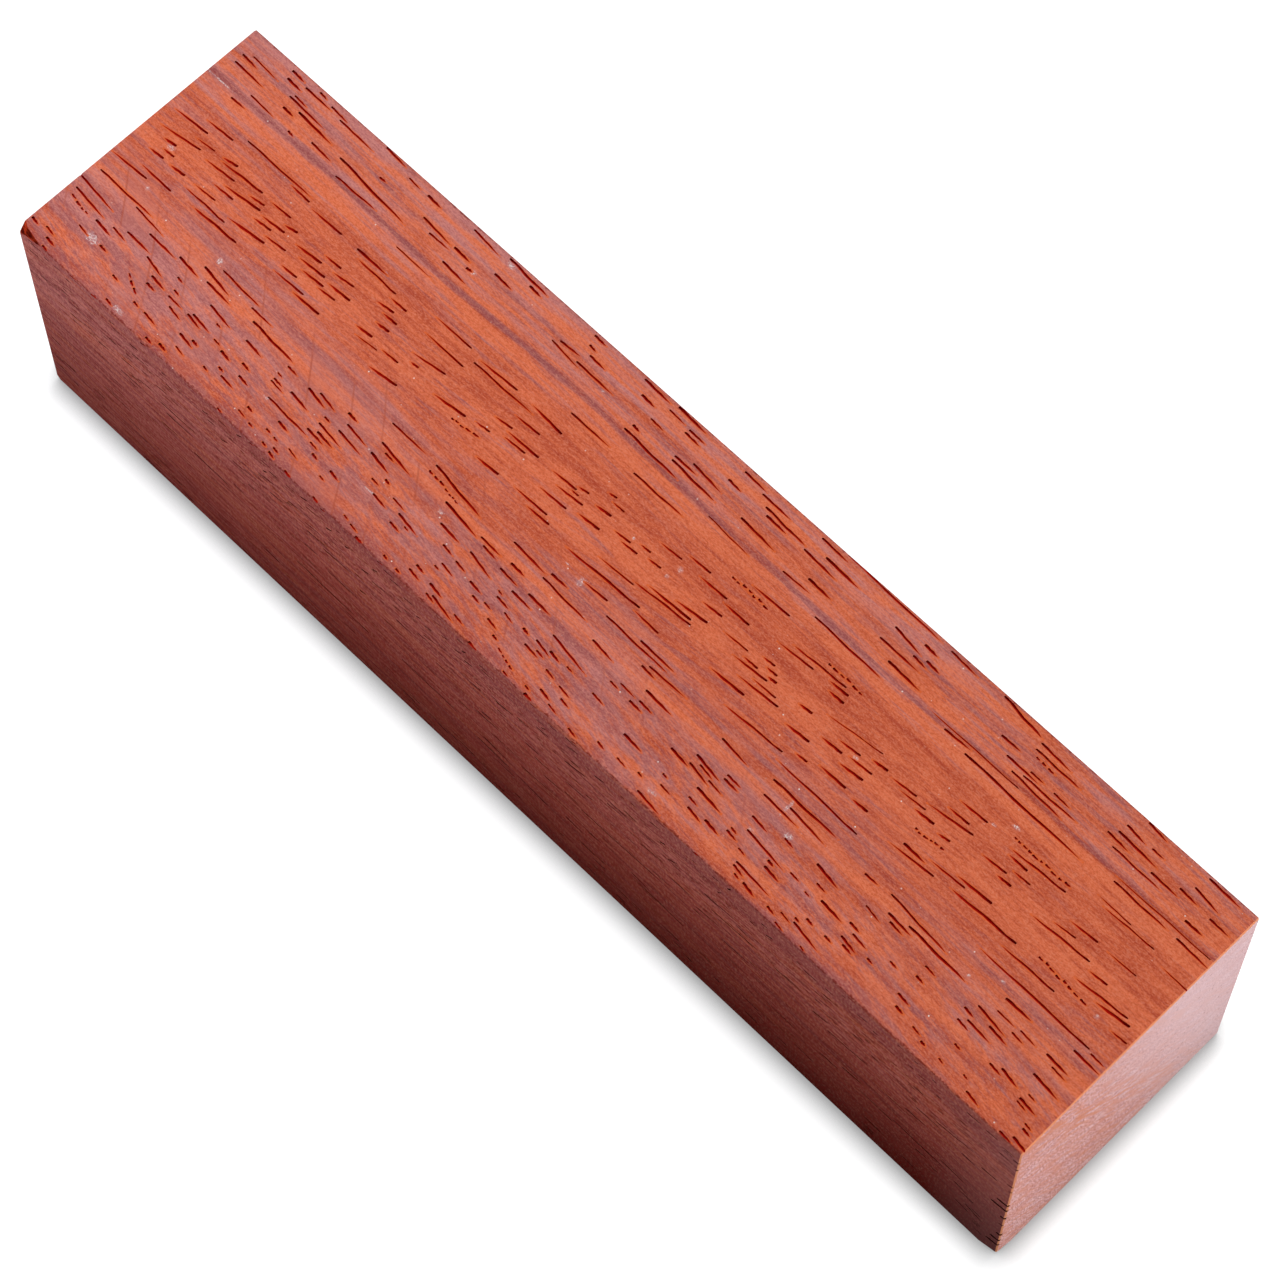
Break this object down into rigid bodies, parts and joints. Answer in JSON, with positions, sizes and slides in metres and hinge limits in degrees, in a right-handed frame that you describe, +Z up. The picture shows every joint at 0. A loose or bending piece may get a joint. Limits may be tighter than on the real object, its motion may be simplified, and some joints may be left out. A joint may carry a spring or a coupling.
{
  "type": "knife handle block",
  "caption": "Square-sawn padauk block for carving a knife handle, lying on a long face, with one chipped corner and two knocked corners.",
  "frame": {"origin": "middle of the face that the block rests on", "axes": "+X along the grain, towards the sawn end that shows; +Y across the block, away from the chipped side; +Z up"},
  "size_m": [0.127, 0.0302, 0.0302],
  "materials": {
    "padauk": "sawn and lightly sanded, unoiled, with open pores"
  },
  "bodies": {
    "root": {"handle_block": "padauk"}
  },
  "joints": []
}
